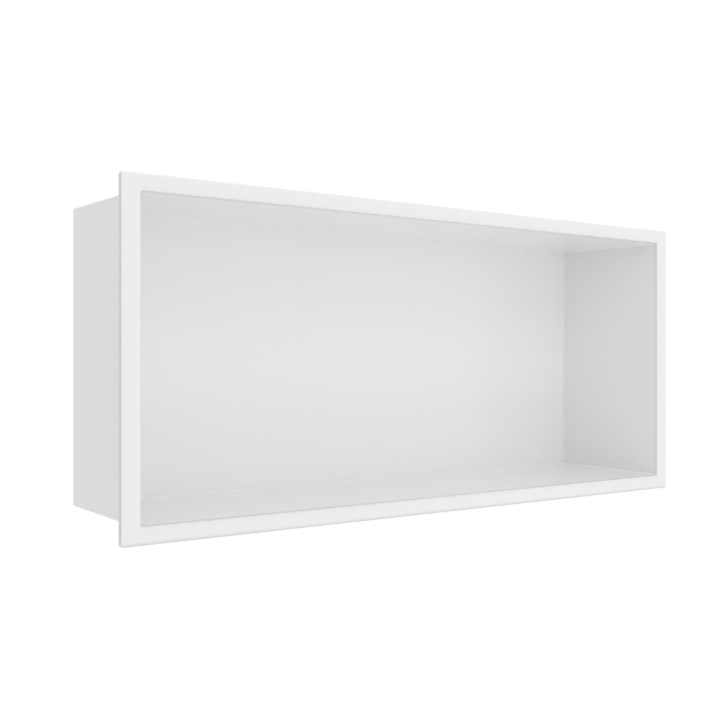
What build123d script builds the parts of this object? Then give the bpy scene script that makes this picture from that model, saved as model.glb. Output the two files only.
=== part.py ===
from build123d import *
import os

# Shower niche insert: one folded sheet, an open box with a flange all round its mouth.
# Origin: middle of the flange outline, in the wall plane that the return lip sits on.
# +X to the right as seen from the room, +Y into the wall, +Z up.

# Driving sizes, in millimetres
opening_width = 427.6
opening_height = 179.9
cavity_depth = 98.0
side_border = 11.2
top_border = 9.75
bottom_border = 10.35
flange_thickness = 3.3
sheet = 1.2
drain_rise = 1.0
fold_radius = 0.7
flange_corner_radius = 1.6
inner_corner_radius = 1.0
outer_corner_radius = 1.0

# The flange is the opening with a border on each side, and its middle is the origin
flange_width = opening_width + 2 * side_border
flange_height = opening_height + top_border + bottom_border
opening_rise = (bottom_border - top_border) / 2

# Depths along Y, from the face that the room sees to the back of the box
face = -flange_thickness
cavity_back = face + cavity_depth
box_back = cavity_back + sheet

# The floor and the roof climb together towards the back, so that water runs out to the front
climb = drain_rise / cavity_depth


def pitched_box(width, height, back):
    """Box from the face to a back plane, with level sides and a floor and roof that climb."""
    middle_at_back = opening_rise + climb * (back - face)
    with BuildSketch(Plane.YZ) as side:
        with BuildLine():
            Polyline(
                (face, opening_rise - height / 2),
                (back, middle_at_back - height / 2),
                (back, middle_at_back + height / 2),
                (face, opening_rise + height / 2),
                close=True,
            )
        make_face()
    return extrude(side.sketch, width / 2, both=True)


def round_behind_mouth(box, radius):
    """Round every edge of a box apart from those around its open front."""
    mouth = box.faces().sort_by(Axis.Y)[0]
    return fillet(box.edges() - mouth.edges(), radius)


def upright_slab(width, height, thickness, corner_radius, edge_radius):
    """Slab that stands on the wall plane, with round corners and its front edges rounded over."""
    slab = extrude(Plane.XZ * RectangleRounded(width, height, corner_radius), thickness)
    front = slab.faces().sort_by(Axis.Y)[0]
    return fillet(front.edges(), edge_radius)


def flange_with_lip():
    """Flange whose outer edge is folded back to the wall, hollow behind its face."""
    outside = upright_slab(flange_width, flange_height, flange_thickness, flange_corner_radius, fold_radius)
    inside_lip = Plane.XZ * Rectangle(flange_width - 2 * sheet, flange_height - 2 * sheet)
    return outside - extrude(inside_lip, flange_thickness - sheet)


def mouth_edges(body):
    """Edges around the opening, where the flange's face turns into the box."""
    flange_face = body.faces().filter_by(Axis.Y).sort_by(Axis.Y)[0]
    return flange_face.inner_wires()[0].edges()


def niche():
    """Box, flange and lip as one sheet, grooved behind each fold so that it turns sharply."""
    shell = pitched_box(opening_width + 2 * sheet, opening_height + 2 * sheet, box_back)
    shell = round_behind_mouth(shell, outer_corner_radius)
    cavity = pitched_box(opening_width, opening_height, cavity_back)
    cavity = round_behind_mouth(cavity, inner_corner_radius)
    body = flange_with_lip() + shell - cavity
    return fillet(mouth_edges(body), fold_radius)


os.makedirs("parts", exist_ok=True)
export_step(niche(), "parts/niche_body.step")
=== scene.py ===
import math

import bmesh
import bpy
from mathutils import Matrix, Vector


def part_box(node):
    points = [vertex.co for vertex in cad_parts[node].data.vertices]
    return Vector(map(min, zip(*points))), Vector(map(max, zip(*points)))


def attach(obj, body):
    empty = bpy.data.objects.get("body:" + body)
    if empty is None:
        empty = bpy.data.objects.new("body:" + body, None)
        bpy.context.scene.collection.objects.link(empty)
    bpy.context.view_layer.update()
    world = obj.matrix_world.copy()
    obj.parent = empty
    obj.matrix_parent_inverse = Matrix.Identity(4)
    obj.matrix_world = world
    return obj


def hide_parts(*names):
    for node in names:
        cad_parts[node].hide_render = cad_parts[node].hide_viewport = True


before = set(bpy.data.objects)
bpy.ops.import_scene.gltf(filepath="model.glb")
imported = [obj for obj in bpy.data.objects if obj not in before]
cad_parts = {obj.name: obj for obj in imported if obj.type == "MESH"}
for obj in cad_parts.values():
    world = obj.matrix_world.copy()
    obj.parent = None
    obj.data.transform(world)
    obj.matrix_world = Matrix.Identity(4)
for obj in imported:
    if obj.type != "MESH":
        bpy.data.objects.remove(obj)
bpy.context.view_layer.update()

# Shower niche insert: the folded sheet with fine bends, its satin white coat with painted shade and
# painted highlights, and a plain studio.
# Lengths are in metres, in the frame of the imported model: +X right, +Y into the wall, +Z up.

MM = 0.001

# The sheet
SHEET = 1.2 * MM
SIDE_BORDER = 11.2 * MM
TOP_BORDER = 9.75 * MM
BOTTOM_BORDER = 10.35 * MM
DRAIN_RISE = 1.0 * MM
FOLD_RADIUS = 0.7 * MM
FLANGE_CORNER = 1.6 * MM
INNER_CORNER = 1.0 * MM
OUTER_CORNER = 1.0 * MM

# How finely the round stretches are divided, and how the mesh is joined and shaded
BEND_STEPS = 10
CORNER_STEPS = 10
MERGE_DISTANCE = 0.001 * MM
SHARP_DEGREES = 50.0

# Painted light and shade on the coat: nought where none is painted, below nought where painted light and
# highlights make it whiter, and up to one where painted shade makes it greyer and duller
NO_PAINTED_SHADING = 0.0
BACK_PAINTED_LIGHT = -0.03
BACK_EDGE_PAINTED_HIGHLIGHT = -0.06
CORNER_PAINTED_HIGHLIGHT = -0.11

# Painted light and shade on the right, top, left and bottom, along the section from the back to the lip:
# below nought painted light and highlights, above nought painted shade
BACK_FOLD_PAINTED_HIGHLIGHT = (-0.04, -0.11, 0.0, -0.07)
BACK_WALL_PAINTED_LIGHT = (-0.03, -0.08, 0.0, -0.06)
MOUTH_WALL_PAINTED_SHADE = (0.04, 0.38, 0.0, 0.42)
MOUTH_FOLD_PAINTED_SHADE = (0.31, 0.44, 0.08, 0.52)
MOUTH_FACE_PAINTED_SHADE = (0.0, 0.11, 0.0, 0.12)
FLANGE_FACE_PAINTED_SHADE = (0.0, 0.055, 0.0, 0.075)
RIM_FACE_PAINTED_SHADE = (0.0, 0.0, 0.0, 0.36)
RIM_FOLD_PAINTED_SHADE = (0.0, 0.0, 0.34, 1.0)

# How far the painted light and shade take to change: on the back, on the walls in front of it, on the
# walls behind the mouth and on the face. At the folds of the mouth and the rim, the painted shade is
# darkest after these degrees of the bend.
EDGE_FADE = 10.0 * MM
BACK_FADE = 25.0 * MM
WALL_FADE = 4.5 * MM
WALL_SHADE_DEPTH = 2.4 * MM
FACE_FADE = 1.5 * MM
MOUTH_SHADE_BY = 40.0
RIM_SHADE_BY = 70.0

# Finish of the coat: its tone and roughness vary a little, over patches of these scales and details
COAT_TONE = (0.916, 0.924)
TONE_PATCHES = (14.0, 3.0)
COAT_ROUGHNESS = (0.20, 0.24)
ROUGHNESS_PATCHES = (180.0, 4.0)
# Painted shade: the tone where it is darkest, and the shine where none is painted and where it is darkest
DARKEST_PAINTED_SHADE = 0.60
UNSHADED_SHINE = 0.5
PAINTED_SHADE_SHINE = 0.0
PEEL_PATCHES = (900.0, 2.0)
PEEL_STRENGTH = 0.08
PEEL_HEIGHT = 0.05 * MM

# Light: the white that the camera sees, the soft light from all round, and the floor
WHITE_SEEN = 1.0
WORLD_LIGHT = 0.72
FLOOR_HEIGHT = -1.0
FLOOR_TONE = 0.86
FLOOR_LIFT = 0.37
FLOOR_SIDES = 96
FLOOR_FADE_START = 1.2
FLOOR_FADE_END = 3.0

# Lamps: name, place, size and power, all aimed at the middle of the niche
AIM = (0.0, 0.04, 0.0)
SOFTBOXES = (
    ("front", (0.0, -2.6, 0.0), 0.6, 1.9),
    ("upper_front", (0.0, -0.8, 0.75), 0.5, 1.55),
    ("lower_front", (0.0, -0.8, -0.75), 0.5, 1.6),
    ("overhead", (0.0, 0.3, 1.5), 1.0, 3.0),
    ("right", (1.2, -0.9, 0.0), 0.7, 0.3),
)

# Camera: level, to the left of the niche and in front of its face, turned to the right
SENSOR_WIDTH = 36.0
FOCAL_PIXELS = 1034.2
FRAME_PIXELS = 720.0
CAMERA_X = -440.36 * MM
CAMERA_BEFORE_FACE = 518.95 * MM
CAMERA_Z = -0.37 * MM
LEVEL_DEGREES = 90.0
TURN_DEGREES = -35.55

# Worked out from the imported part's own box
node_low, node_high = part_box("niche_body")
FACE = node_low.y
WALL_PLANE = 0.0
BOX_BACK = node_high.y
CAVITY_BACK = BOX_BACK - SHEET
FLANGE_HALF_WIDTH = (node_high.x - node_low.x) / 2
FLANGE_HALF_HEIGHT = (node_high.z - node_low.z) / 2
OPENING_HALF_WIDTH = FLANGE_HALF_WIDTH - SIDE_BORDER
OPENING_HALF_HEIGHT = FLANGE_HALF_HEIGHT - (TOP_BORDER + BOTTOM_BORDER) / 2
OPENING_RISE = (BOTTOM_BORDER - TOP_BORDER) / 2
CLIMB = DRAIN_RISE / (CAVITY_BACK - FACE)

# The corners of a rectangle as signs of X and Z, from the right side by the top
CORNERS = ((1, 1), (-1, 1), (-1, -1), (1, -1))


def quarter_turn():
    """Sine, cosine and angle in degrees of the steps of a quarter turn, both ends included."""
    angles = [90 * i / BEND_STEPS for i in range(BEND_STEPS + 1)]
    return [(math.sin(math.radians(a)), math.cos(math.radians(a)), a) for a in angles]


def ring(half_width, half_height, corner, depth, middle, painted_shadings, arc_painted_shading=None):
    """Points of an upright rectangle with round corners, each with its painted shading."""
    points = []
    for side, (right, up) in enumerate(CORNERS):
        first = painted_shadings[side]
        last = painted_shadings[(side + 1) % 4]
        for i in range(CORNER_STEPS + 1):
            # A sharp corner takes the mean of its two sides
            share = i / CORNER_STEPS if corner else 0.5
            angle = math.radians(90 * (side + share))
            x = right * (half_width - corner) + corner * math.cos(angle)
            z = up * (half_height - corner) + corner * math.sin(angle)
            painted_shading = first + (last - first) * share
            if arc_painted_shading is not None and 0 < share < 1:
                painted_shading = arc_painted_shading
            points.append(((x, depth, middle + z), painted_shading))
    return points


def all_round(painted_shading):
    """The same painted shading on all four sides."""
    return (painted_shading,) * 4


def between(first, last, share):
    """The painted shading of four sides at a share of the way between two states."""
    return tuple(a + (b - a) * min(share, 1.0) for a, b in zip(first, last))


def box_ring(out, depth, corner, painted_shadings=all_round(NO_PAINTED_SHADING), arc_painted_shading=None):
    """A rectangle that lies outside the opening by a distance, and climbs with the box."""
    half_width = OPENING_HALF_WIDTH + out
    half_height = OPENING_HALF_HEIGHT + out
    middle = OPENING_RISE + CLIMB * (depth - FACE)
    return ring(half_width, half_height, corner, depth, middle, painted_shadings, arc_painted_shading)


def flange_ring(inset, depth, painted_shadings=all_round(NO_PAINTED_SHADING)):
    """A rectangle inside the flange's outline, with round corners on the sheet's outer side only."""
    corner = FLANGE_CORNER - inset if inset < SHEET else 0.0
    half_width = FLANGE_HALF_WIDTH - inset
    half_height = FLANGE_HALF_HEIGHT - inset
    return ring(half_width, half_height, corner, depth, 0.0, painted_shadings)


def cavity_rings():
    """The cavity's back, its rounded edges, and the walls as far as the mouth."""
    # Painted light on the back, painted highlights along its edges and along the inner corners, and
    # painted shade starting on the walls near the mouth
    rings = [
        box_ring(-INNER_CORNER - EDGE_FADE, CAVITY_BACK, 0.0, all_round(BACK_PAINTED_LIGHT)),
        box_ring(-INNER_CORNER, CAVITY_BACK, 0.0, all_round(BACK_EDGE_PAINTED_HIGHLIGHT)),
    ]
    for s, c, a in quarter_turn()[1:]:
        out = (s - 1) * INNER_CORNER
        depth = CAVITY_BACK - INNER_CORNER * (1 - c)
        painted_shadings = BACK_FOLD_PAINTED_HIGHLIGHT if a < 90 else BACK_WALL_PAINTED_LIGHT
        rings.append(box_ring(out, depth, INNER_CORNER * s, painted_shadings, CORNER_PAINTED_HIGHLIGHT))
    for depth in (CAVITY_BACK - INNER_CORNER - BACK_FADE, FACE + WALL_FADE):
        rings.append(box_ring(0.0, depth, INNER_CORNER, all_round(NO_PAINTED_SHADING), CORNER_PAINTED_HIGHLIGHT))
    rings.append(box_ring(0.0, FACE + WALL_SHADE_DEPTH, INNER_CORNER, MOUTH_WALL_PAINTED_SHADE))
    return rings


def mouth_rings():
    """The fold from the walls to the flange's face."""
    rings = []
    for s, c, a in quarter_turn():
        out = FOLD_RADIUS * (1 - c)
        depth = FACE + FOLD_RADIUS * (1 - s)
        # Painted shade along the mouth's fold, darkest towards the walls
        painted_shadings = between(MOUTH_FACE_PAINTED_SHADE, MOUTH_FOLD_PAINTED_SHADE, (90 - a) / MOUTH_SHADE_BY)
        rings.append(box_ring(out, depth, INNER_CORNER + out, painted_shadings))
    return rings


def flange_rings():
    """The flange's face, the fold at its rim, and the lip that turns back to the wall."""
    fade = FOLD_RADIUS + FACE_FADE
    # Painted shade over the face at the top and bottom, and along the rim's fold and the lip, darkest
    # towards the lip
    rings = [
        box_ring(fade, FACE, INNER_CORNER + fade, FLANGE_FACE_PAINTED_SHADE),
        flange_ring(fade, FACE, FLANGE_FACE_PAINTED_SHADE),
    ]
    for s, c, a in quarter_turn():
        inset = FOLD_RADIUS * (1 - s)
        depth = FACE + FOLD_RADIUS * (1 - c)
        painted_shadings = between(RIM_FACE_PAINTED_SHADE, RIM_FOLD_PAINTED_SHADE, a / RIM_SHADE_BY)
        rings.append(flange_ring(inset, depth, painted_shadings))
    rings.append(flange_ring(0.0, WALL_PLANE, RIM_FOLD_PAINTED_SHADE))
    rings.append(flange_ring(SHEET, WALL_PLANE))
    return rings


def outer_rings():
    """The hollow side of the flange, the outside of the box, and its rounded back edges."""
    rings = [
        flange_ring(SHEET, FACE + SHEET),
        box_ring(SHEET, FACE + SHEET, OUTER_CORNER),
    ]
    for s, c, a in quarter_turn():
        out = SHEET + (c - 1) * OUTER_CORNER
        depth = BOX_BACK - OUTER_CORNER * (1 - s)
        rings.append(box_ring(out, depth, OUTER_CORNER * c))
    return rings


def folded_sheet(name):
    """The whole insert as one closed mesh of quads between the section's rings."""
    mesh = bpy.data.meshes.new(name)
    bm = bmesh.new()
    painted_shading_layer = bm.verts.layers.float.new("painted_shading")
    loops = []
    for points in cavity_rings() + mouth_rings() + flange_rings() + outer_rings():
        loop = []
        for place, painted_shading in points:
            vertex = bm.verts.new(place)
            vertex[painted_shading_layer] = painted_shading
            loop.append(vertex)
        loops.append(loop)
    count = len(loops[0])
    for inner, outer in zip(loops, loops[1:]):
        for i in range(count):
            j = (i + 1) % count
            bm.faces.new((inner[i], inner[j], outer[j], outer[i]))
    bm.faces.new(loops[0])
    bm.faces.new(loops[-1])
    bmesh.ops.remove_doubles(bm, verts=bm.verts, dist=MERGE_DISTANCE)
    bmesh.ops.recalc_face_normals(bm, faces=bm.faces)
    for face in bm.faces:
        face.smooth = True
    for edge in bm.edges:
        edge.smooth = edge.calc_face_angle(0.0) < math.radians(SHARP_DEGREES)
    bm.to_mesh(mesh)
    bm.free()
    piece = bpy.data.objects.new(name, mesh)
    bpy.context.scene.collection.objects.link(piece)
    weighted = piece.modifiers.new("even_normals", "WEIGHTED_NORMAL")
    weighted.keep_sharp = True
    return piece


def white_coat():
    """Satin white powder paint: near-white, slightly uneven, with a fine orange peel; greyed by painted
    shade along the folds and whitened by painted light and highlights in the cavity.
    """
    material = bpy.data.materials.new("white_coat")
    material.use_nodes = True
    nodes = material.node_tree.nodes
    links = material.node_tree.links
    shader = nodes["Principled BSDF"]
    place = nodes.new("ShaderNodeTexCoord")

    def noise(scale, detail):
        node = nodes.new("ShaderNodeTexNoise")
        node.inputs["Scale"].default_value = scale
        node.inputs["Detail"].default_value = detail
        links.new(place.outputs["Object"], node.inputs["Vector"])
        return node.outputs["Fac"]

    def ranged(value, low, high, start=0.0):
        node = nodes.new("ShaderNodeMapRange")
        node.inputs["From Min"].default_value = start
        node.inputs["To Min"].default_value = low
        node.inputs["To Max"].default_value = high
        links.new(value, node.inputs["Value"])
        return node.outputs["Result"]

    # Painted light and shade change the coat's tone and its shine
    state = nodes.new("ShaderNodeAttribute")
    state.attribute_name = "painted_shading"
    painted_shade_tone = ranged(state.outputs["Fac"], 2 - DARKEST_PAINTED_SHADE, DARKEST_PAINTED_SHADE, start=-1.0)
    shade = nodes.new("ShaderNodeMath")
    shade.operation = "MULTIPLY"
    links.new(ranged(noise(*TONE_PATCHES), *COAT_TONE), shade.inputs[0])
    links.new(painted_shade_tone, shade.inputs[1])
    grey = nodes.new("ShaderNodeCombineColor")
    for channel in ("Red", "Green", "Blue"):
        links.new(shade.outputs["Value"], grey.inputs[channel])
    links.new(grey.outputs["Color"], shader.inputs["Base Color"])
    shine = ranged(state.outputs["Fac"], UNSHADED_SHINE, PAINTED_SHADE_SHINE)
    links.new(shine, shader.inputs["Specular IOR Level"])
    links.new(ranged(noise(*ROUGHNESS_PATCHES), *COAT_ROUGHNESS), shader.inputs["Roughness"])

    # Orange peel
    bump = nodes.new("ShaderNodeBump")
    bump.inputs["Strength"].default_value = PEEL_STRENGTH
    bump.inputs["Distance"].default_value = PEEL_HEIGHT
    links.new(noise(*PEEL_PATCHES), bump.inputs["Height"])
    links.new(bump.outputs["Normal"], shader.inputs["Normal"])
    return material


def seen_directly(nodes, links):
    """One for rays from the camera and for mirrored or refracted rays, nought for soft light."""
    path = nodes.new("ShaderNodeLightPath")
    seen = path.outputs["Is Camera Ray"]
    for kind in ("Is Glossy Ray", "Is Transmission Ray"):
        either = nodes.new("ShaderNodeMath")
        either.operation = "MAXIMUM"
        links.new(seen, either.inputs[0])
        links.new(path.outputs[kind], either.inputs[1])
        seen = either.outputs["Value"]
    return seen


def surroundings():
    """World that the camera and reflections see as white, and that lights the object softly."""
    world = bpy.data.worlds.new("surroundings")
    bpy.context.scene.world = world
    world.use_nodes = True
    nodes = world.node_tree.nodes
    links = world.node_tree.links
    nodes.clear()

    def background(strength):
        node = nodes.new("ShaderNodeBackground")
        node.inputs["Color"].default_value = (1.0, 1.0, 1.0, 1.0)
        node.inputs["Strength"].default_value = strength
        return node.outputs["Background"]

    mix = nodes.new("ShaderNodeMixShader")
    links.new(seen_directly(nodes, links), mix.inputs["Fac"])
    links.new(background(WORLD_LIGHT), mix.inputs[1])
    links.new(background(WHITE_SEEN), mix.inputs[2])
    output = nodes.new("ShaderNodeOutputWorld")
    links.new(mix.outputs["Shader"], output.inputs["Surface"])


def pale_floor():
    """Matt floor that the camera sees a little lighter, and that fades out to clear at its edge."""
    material = bpy.data.materials.new("pale_floor")
    material.use_nodes = True
    nodes = material.node_tree.nodes
    links = material.node_tree.links
    nodes.clear()
    matt = nodes.new("ShaderNodeBsdfDiffuse")
    matt.inputs["Color"].default_value = (FLOOR_TONE, FLOOR_TONE, FLOOR_TONE, 1.0)
    lift = nodes.new("ShaderNodeEmission")
    lift_strength = nodes.new("ShaderNodeMath")
    lift_strength.operation = "MULTIPLY"
    lift_strength.inputs[1].default_value = FLOOR_LIFT
    links.new(seen_directly(nodes, links), lift_strength.inputs[0])
    links.new(lift_strength.outputs["Value"], lift.inputs["Strength"])
    both = nodes.new("ShaderNodeAddShader")
    links.new(matt.outputs["BSDF"], both.inputs[0])
    links.new(lift.outputs["Emission"], both.inputs[1])

    place = nodes.new("ShaderNodeTexCoord")
    from_middle = nodes.new("ShaderNodeVectorMath")
    from_middle.operation = "LENGTH"
    links.new(place.outputs["Object"], from_middle.inputs[0])
    fade = nodes.new("ShaderNodeMapRange")
    fade.interpolation_type = "SMOOTHSTEP"
    fade.inputs["From Min"].default_value = FLOOR_FADE_START
    fade.inputs["From Max"].default_value = FLOOR_FADE_END
    links.new(from_middle.outputs["Value"], fade.inputs["Value"])
    clear = nodes.new("ShaderNodeBsdfTransparent")
    mix = nodes.new("ShaderNodeMixShader")
    links.new(fade.outputs["Result"], mix.inputs["Fac"])
    links.new(both.outputs["Shader"], mix.inputs[1])
    links.new(clear.outputs["BSDF"], mix.inputs[2])
    output = nodes.new("ShaderNodeOutputMaterial")
    links.new(mix.outputs["Shader"], output.inputs["Surface"])
    return material


def floor():
    """Pale floor below the niche, which takes its shadow and fades into the white surroundings."""
    mesh = bpy.data.meshes.new("floor")
    bm = bmesh.new()
    bmesh.ops.create_circle(bm, cap_ends=True, segments=FLOOR_SIDES, radius=FLOOR_FADE_END)
    bm.to_mesh(mesh)
    bm.free()
    mesh.materials.append(pale_floor())
    plane = bpy.data.objects.new("floor", mesh)
    plane.location = (0.0, 0.0, FLOOR_HEIGHT)
    bpy.context.scene.collection.objects.link(plane)


def softbox(name, place, size, power):
    """Large square lamp, aimed at the middle of the niche."""
    data = bpy.data.lights.new(name, "AREA")
    data.shape = "SQUARE"
    data.size = size
    data.energy = power
    lamp = bpy.data.objects.new(name, data)
    lamp.location = place
    lamp.visible_camera = False
    lamp.rotation_euler = (Vector(AIM) - Vector(place)).to_track_quat("-Z", "Y").to_euler()
    bpy.context.scene.collection.objects.link(lamp)


def level_camera():
    """Level camera to the left of the niche, at the height of its middle."""
    data = bpy.data.cameras.new("camera")
    data.sensor_width = SENSOR_WIDTH
    data.lens = SENSOR_WIDTH * FOCAL_PIXELS / FRAME_PIXELS
    camera = bpy.data.objects.new("camera", data)
    camera.location = (CAMERA_X, FACE - CAMERA_BEFORE_FACE, CAMERA_Z)
    camera.rotation_euler = (math.radians(LEVEL_DEGREES), 0.0, math.radians(TURN_DEGREES))
    bpy.context.scene.collection.objects.link(camera)
    bpy.context.scene.camera = camera


niche = folded_sheet("niche")
niche.data.materials.append(white_coat())
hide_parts("niche_body")
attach(niche, "root")

surroundings()
floor()
for name, place, size, power in SOFTBOXES:
    softbox(name, place, size, power)
level_camera()
bpy.context.scene.view_settings.view_transform = "Standard"
